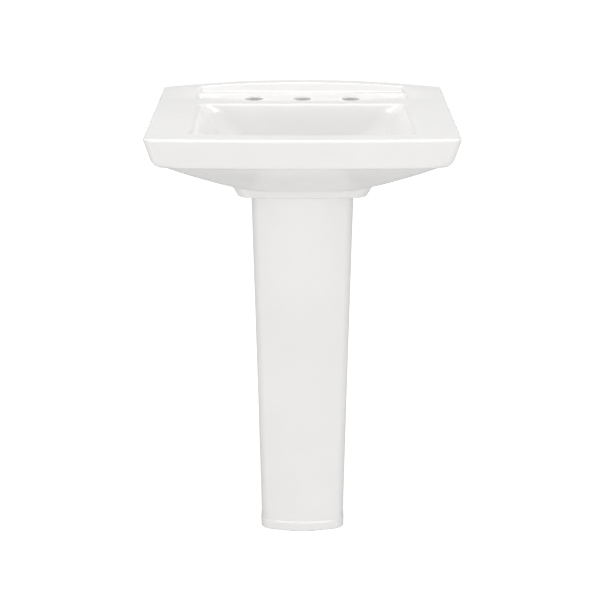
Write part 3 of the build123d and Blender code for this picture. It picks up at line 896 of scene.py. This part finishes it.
# %% The cartridge and its spring
fit_out(from_cad("push_cartridge_acetal", "push_cartridge", 0.2), "push_cartridge", "acetal")
spring_low, spring_high = span("cartridge_spring")
spring = mesh_object("cartridge_spring_wire", [], [])
rise = spring_high - spring_low - 2 * SPRING_WIRE
grow(spring, round_wire, Coil=(reach_of("cartridge_spring") - SPRING_WIRE) * MM, Wire=SPRING_WIRE * MM,
     Turns=SPRING_TURNS, Height=rise * MM,
     Foot=(0.0, DRAIN_Y * MM, (spring_low + SPRING_WIRE) * MM), Material=finishes["spring_steel"])
fit_out(spring, "cartridge_spring", "spring_steel")
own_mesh(spring)

# %% The stopper
cap_low, cap_high = span("stopper_cap")
cap_radius = reach_of("stopper_cap")
cap = turned("stopper_cap_chromed", [
    (0.0, cap_low), (cap_radius - 0.6, cap_low), (cap_radius, cap_low + 0.6), (cap_radius, cap_high - 2.0),
    (cap_radius - 0.8, cap_high - 0.85), (cap_radius - 3.2, cap_high - 0.28),
    (cap_radius * 0.5, cap_high - 0.06), (0.0, cap_high)], 0.9, sides=128)
fit_out(cap, "stopper_cap", "chrome", "stopper", 60.0)

seal = turned("stopper_gasket_rubber", ring_corners(
    STEM_RADIUS, reach_of("stopper_gasket"), *span("stopper_gasket")), 0.9)
fit_out(seal, "stopper_gasket", "rubber", "stopper")

stem_low, stem_high = span("stopper_stem")
shoulder = stem_low + TIP_LENGTH
shoulder_radius = reach_of("stopper_stem")
stem = turned("stopper_stem_brass", [
    (0.0, stem_low), (TIP_RADIUS, stem_low), (TIP_RADIUS, shoulder), (shoulder_radius, shoulder),
    (shoulder_radius, shoulder + SHOULDER_HEIGHT), (STEM_RADIUS, shoulder + SHOULDER_HEIGHT),
    (STEM_RADIUS, stem_high), (0.0, stem_high)], 0.35, sides=48)
fit_out(stem, "stopper_stem", "brass", "stopper")

# %% [markdown]
# ## The waste pipe and the trap
#
# A straight tailpiece drops from the drain into the trap's bend, a half turn of tube with a socket
# at each end. The arm rises from the second socket and turns to the wall, where a thin domed cover
# hides the hole. A slip nut and a square-cut washer close each socket, and a plug at the foot of
# the bend lets it be cleaned out. The tubes follow their paths; the sockets are turned.

# %% Sizes of the trap
PIPE_RADIUS = 15.875
PIPE_WALL = 1.2
SOCKET_RADIUS = 19.5
SOCKET_BORE = 16.075
SOCKET_HEIGHT = 27.0
SOCKET_SHOULDER = 3.0
BEND_RADIUS = 35.0
ARM_BEND_RADIUS = 30.0
OUTLET_Y = DRAIN_Y + 2 * BEND_RADIUS
ARM_Z = (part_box("trap_arm")[1].z / MM) - PIPE_RADIUS
BEND_FOOT_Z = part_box("cleanout_gasket")[1].z / MM + 5.0 + PIPE_RADIUS
SOCKET_TOPS = {
    "inlet": (DRAIN_Y, span("trap_inlet_washer")[0]),
    "union": (OUTLET_Y, span("trap_union_washer")[0])}
CLEANOUT_RADIUS, BOSS_RADIUS, BOSS_LENGTH = 9.0, 13.0, 7.4


def tube(name, places, bend):
    """A chromed tube through places of (y, z) in millimetres."""
    mesh = bpy.data.meshes.new(name)
    line = [(0.0, y * MM, z * MM) for y, z in places]
    mesh.from_pydata(line, [(n, n + 1) for n in range(len(line) - 1)], [])
    piece = bpy.data.objects.new(name, mesh)
    scene.collection.objects.link(piece)
    return grow(piece, bent_tube, Radius=PIPE_RADIUS * MM, Wall=PIPE_WALL * MM, Bend=bend * MM,
                Material=finishes["chrome"])


def joined(name, pieces):
    """One object of several, with one mesh."""
    shape = bmesh.new()
    for piece in pieces:
        shape.from_mesh(piece.data)
        bpy.data.objects.remove(piece)
    mesh = bpy.data.meshes.new(name)
    shape.to_mesh(mesh)
    shape.free()
    mesh.polygons.foreach_set("material_index", [0] * len(mesh.polygons))
    whole = bpy.data.objects.new(name, mesh)
    scene.collection.objects.link(whole)
    return whole


# %% The tubes
tail_low, tail_high = span("tailpiece")
tail = tube("tailpiece_chromed", [(DRAIN_Y, tail_high), (DRAIN_Y, tail_low)], 0.0)
fit_out(tail, "tailpiece", "chrome")

into_socket = 1.5 - SOCKET_HEIGHT
bend_parts = [tube("bend_run", [
    (DRAIN_Y, SOCKET_TOPS["inlet"][1] + into_socket), (DRAIN_Y, BEND_FOOT_Z),
    (OUTLET_Y, BEND_FOOT_Z), (OUTLET_Y, SOCKET_TOPS["union"][1] + into_socket)], BEND_RADIUS)]
bore = PIPE_RADIUS - PIPE_WALL
for label, (centre_y, top) in SOCKET_TOPS.items():
    low = top - SOCKET_HEIGHT
    step = low + SOCKET_SHOULDER
    bend_parts.append(turned("socket_" + label, [
        (bore, low), (PIPE_RADIUS + 0.4, low), (SOCKET_RADIUS, low + 2.2), (SOCKET_RADIUS, top),
        (SOCKET_BORE, top), (SOCKET_BORE, step), (bore, step)], 0.6, centre=(centre_y, 0.0)))
boss_z = span("cleanout_gasket")[1]
boss = ring_corners(CLEANOUT_RADIUS, BOSS_RADIUS, boss_z, boss_z + BOSS_LENGTH)
bend_parts.append(turned("cleanout_boss", boss, 0.5, centre=(DRAIN_Y + BEND_RADIUS, 0.0)))
fit_out(joined("trap_bend_chromed", bend_parts), "j_bend", "chrome")

arm_low = span("trap_arm")[0]
arm = tube("trap_arm_chromed", [(OUTLET_Y, arm_low), (OUTLET_Y, ARM_Z), (WALL, ARM_Z)], ARM_BEND_RADIUS)
fit_out(arm, "trap_arm", "chrome")

# %% The nuts, the washers, the plug and the wall cover
for node in ("trap_inlet_nut", "trap_union_nut"):
    fit_out(from_cad(node + "_chromed", node, 0.7), node, "chrome")
for node, centre_y in (("trap_inlet_washer", DRAIN_Y), ("trap_union_washer", OUTLET_Y)):
    washer = turned(node + "_rubber", ring_corners(PIPE_RADIUS + 0.1, SOCKET_RADIUS, *span(node)), 0.4,
                    centre=(centre_y, 0.0))
    fit_out(washer, node, "rubber")
plug_y = DRAIN_Y + BEND_RADIUS
plug = from_cad("cleanout_plug_chromed", "cleanout_plug", 0.4)
fit_out(plug, "cleanout_plug", "chrome")
plug_seal = turned("cleanout_gasket_rubber", ring_corners(
    CLEANOUT_RADIUS, reach_of("cleanout_gasket"), *span("cleanout_gasket")), 0.35, centre=(plug_y, 0.0))
fit_out(plug_seal, "cleanout_gasket", "rubber")

cover_radius = reach_of("wall_escutcheon")
cover_bore = PIPE_RADIUS + 0.1
COVER_HEIGHT = 11.0
COVER_SHEET = 1.5
dome = [(cover_radius * math.cos(a) ** 0.8, -COVER_HEIGHT * math.sin(a)) for a in np.linspace(0, 0.95, 9)]
dome = [(r, h) for r, h in dome if r > cover_bore + 1.0] + [(cover_bore, -COVER_HEIGHT + 0.4)]
lining = [(r - COVER_SHEET * 0.7, h + COVER_SHEET) for r, h in reversed(dome)
          if h < -COVER_SHEET and r - COVER_SHEET > cover_bore]
cover = turned("wall_cover_chromed", dome + [(cover_bore, -COVER_HEIGHT + 0.4 + COVER_SHEET)] + lining
               + [(cover_radius - COVER_SHEET, 0.0)], 0.3, centre=(WALL, ARM_Z), toward_wall=True)
fit_out(cover, "wall_escutcheon", "chrome", sharp=50.0)

# %% [markdown]
# ## The floor
#
# A plain pale floor runs far past the picture. A real studio sweep is lit until it looks white, but
# light thrown back by it would also fill the shade under the basin. So the floor is a middling
# grey to every other ray, and only what the camera sees is lifted to white.

# %% The floor
FLOOR_HALF = 30.0
FLOOR_ALBEDO = 0.72
FLOOR_LIFT = 0.6
corners = [(-FLOOR_HALF, -FLOOR_HALF), (FLOOR_HALF, -FLOOR_HALF),
           (FLOOR_HALF, FLOOR_HALF), (-FLOOR_HALF, FLOOR_HALF)]
floor_mesh = bpy.data.meshes.new("studio_floor")
floor_mesh.from_pydata([(x, y, 0.0) for x, y in corners], [], [(0, 1, 2, 3)])
floor = bpy.data.objects.new("studio_floor", floor_mesh)
scene.collection.objects.link(floor)
paint, paint_tree, paint_shader = start_material("matt_studio_floor")
seen = put(paint_tree, "ShaderNodeLightPath").outputs["Is Camera Ray"]
lift = put(paint_tree, "ShaderNodeMath", {"operation": "MULTIPLY"}, {0: seen, 1: FLOOR_LIFT})
set_inputs(paint_tree, paint_shader, Base_Color=[FLOOR_ALBEDO] * 3 + [1.0], Roughness=0.9,
           Emission_Color=linear("#ffffff"), Emission_Strength=lift.outputs[0])
floor.data.materials.append(paint)
print("floor", 2 * FLOOR_HALF, "m square")

# %% [markdown]
# ## The light
#
# The sink stands in a white cove: soft light from every side, stronger from the front and from
# behind than from the flanks, which gives the white shapes a gentle shade. One long softbox
# hangs above and draws the bright lines along the rims, a low one in front fills the belly and the
# pedestal, and two small ones at the flanks reach into the bowl's side walls. No lamp shows itself.

# %% The light
GLOW = ((0.15, 0.75), (0.5, 0.42), (0.85, 0.70))     # strength from front (0) to back (1)
world = bpy.data.worlds.new("white_cove")
scene.world = world
world.use_nodes = True
sky = world.node_tree
sky.nodes.clear()
direction = put(sky, "ShaderNodeTexCoord").outputs["Generated"]
split = put(sky, "ShaderNodeSeparateXYZ", inputs={"Vector": direction})
toward_back = put(sky, "ShaderNodeMapRange", inputs={
    "Value": split.outputs["Y"], "From Min": -1.0, "From Max": 1.0})
glow = put(sky, "ShaderNodeValToRGB", inputs={"Fac": toward_back.outputs[0]})
glow.color_ramp.elements.new(GLOW[1][0])
set_tones(glow, [(position, (strength, strength, strength, 1.0)) for position, strength in GLOW])
background = put(sky, "ShaderNodeBackground", inputs={"Color": glow.outputs["Color"], "Strength": 1.0})
put(sky, "ShaderNodeOutputWorld", inputs={"Surface": background.outputs[0]})


def softbox(name, place, aim, width, height, power):
    """A rectangular lamp that faces a point and isn't seen itself."""
    lamp = bpy.data.lights.new(name, "AREA")
    lamp.shape = "RECTANGLE"
    lamp.size = width
    lamp.size_y = height
    lamp.energy = power
    box = bpy.data.objects.new(name, lamp)
    box.location = place
    box.rotation_euler = (Vector(aim) - Vector(place)).to_track_quat("-Z", "Y").to_euler()
    box.visible_camera = False
    scene.collection.objects.link(box)
    print("softbox", name, width, "x", height, "m,", power, "W")


softbox("overhead", (0, -0.45, 3.0), (0, 0, 0.8), 2.8, 0.9, 36)
softbox("low_front", (0, -3.6, 0.75), (0, 0, 0.6), 4.0, 1.0, 51)
for side, place_x in (("left", -3.0), ("right", 3.0)):
    softbox("flank_" + side, (place_x, -0.6, 2.0), (0, 0, 0.85), 1.0, 1.0, 7)
scene.view_settings.view_transform = "Standard"
